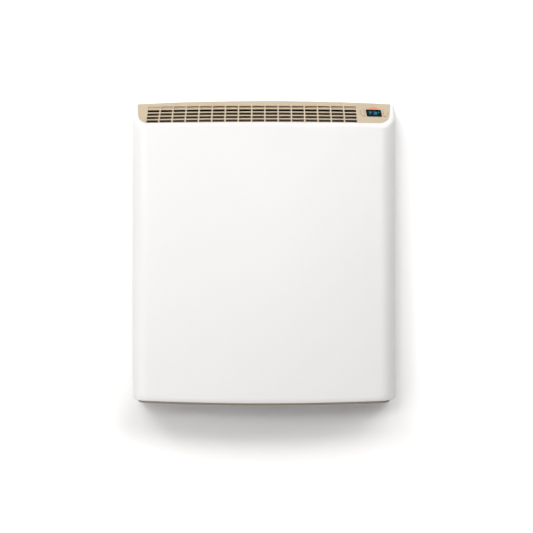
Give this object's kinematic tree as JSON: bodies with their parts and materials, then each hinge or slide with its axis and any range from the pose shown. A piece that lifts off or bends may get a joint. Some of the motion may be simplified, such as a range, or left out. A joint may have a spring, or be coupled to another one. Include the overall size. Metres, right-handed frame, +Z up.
{
  "type": "electric panel heater",
  "caption": "Wall-hung electric panel heater: bowed white casing, beige slotted outlet along its sloping top with a display and push buttons, lifting off wall hooks.",
  "frame": {"origin": "centre of the four wall-screw holes, on the wall face", "axes": "+X to the viewer's right, +Y into the wall, +Z up; the front faces -Y"},
  "size_m": [0.4856, 0.066, 0.5556],
  "materials": {
    "white_plastic": "satin white moulding",
    "beige_plastic": "fine-grained beige moulding",
    "inlet_plastic": "grained grey-brown moulding",
    "panel_plastic": "dark grained moulding",
    "clip_plastic": "pale grey moulding",
    "aluminium_sheet": "bright rolled sheet",
    "ceramic": "unglazed ceramic",
    "mica": "pressed mica sheet",
    "resistance_alloy": "drawn ribbon",
    "steel_sheet": "zinc-coated sheet",
    "screw_steel": "zinc-plated",
    "brass_tab": "plain brass",
    "cutout_metal": "pressed can",
    "green_board": "solder mask",
    "black_plastic": "moulded black",
    "blue_plastic": "moulded blue",
    "sleeve": "shrink sleeve",
    "block_plastic": "moulded pale",
    "lead_rubber": "silicone sleeve",
    "cable_rubber": "soft sheath",
    "sensor_resin": "dipped resin",
    "smoked_lens": "polished dark lens",
    "salmon_lens": "polished light pipe",
    "lamp_resin": "moulded lamp"
  },
  "bodies": {
    "wall_clips": {"wall_clips": "clip_plastic"},
    "heater": {"front_cover": "white_plastic", "outlet_grille": "beige_plastic", "inlet_grille": "inlet_plastic", "rear_panel": "panel_plastic", "heat_shield": "aluminium_sheet", "element_insulators": "ceramic", "baffle_spacers": "ceramic", "heating_board": "mica", "heating_ribbon": "resistance_alloy", "front_baffle": "steel_sheet", "heat_partition": "steel_sheet", "stack_screws": "screw_steel", "partition_screws": "screw_steel", "power_screws": "screw_steel", "cover_screws": "screw_steel", "control_screws": "screw_steel", "element_terminals": "brass_tab", "thermal_cutout": "cutout_metal", "power_board": "green_board", "control_board": "green_board", "power_supply": "black_plastic", "control_tray": "black_plastic", "button_switches": "black_plastic", "cable_gland": "black_plastic", "sensor_holder": "black_plastic", "power_relay": "blue_plastic", "power_capacitor": "sleeve", "display_module": "sleeve", "terminal_block": "block_plastic", "control_socket": "block_plastic", "element_leads": "lead_rubber", "control_cable": "cable_rubber", "sensor_lead": "cable_rubber", "room_sensor": "sensor_resin", "display_window": "smoked_lens", "indicator_lens": "salmon_lens", "indicator_chip": "lamp_resin"},
    "decrease_button": {"decrease_button": "beige_plastic"},
    "increase_button": {"increase_button": "beige_plastic"}
  },
  "joints": [
    {"name": "lift_off", "type": "slide", "parent": "wall_clips", "child": "heater", "axis": [0, 0, 1], "range_m": [0, 0.0105]},
    {"name": "decrease_press", "type": "slide", "parent": "heater", "child": "decrease_button", "axis": [-0.07, 0.806, -0.5878], "range_m": [0, 0.0006], "stiffness_N_per_m": 500},
    {"name": "increase_press", "type": "slide", "parent": "heater", "child": "increase_button", "axis": [-0.07, 0.806, -0.5878], "range_m": [0, 0.0006], "stiffness_N_per_m": 500}
  ]
}
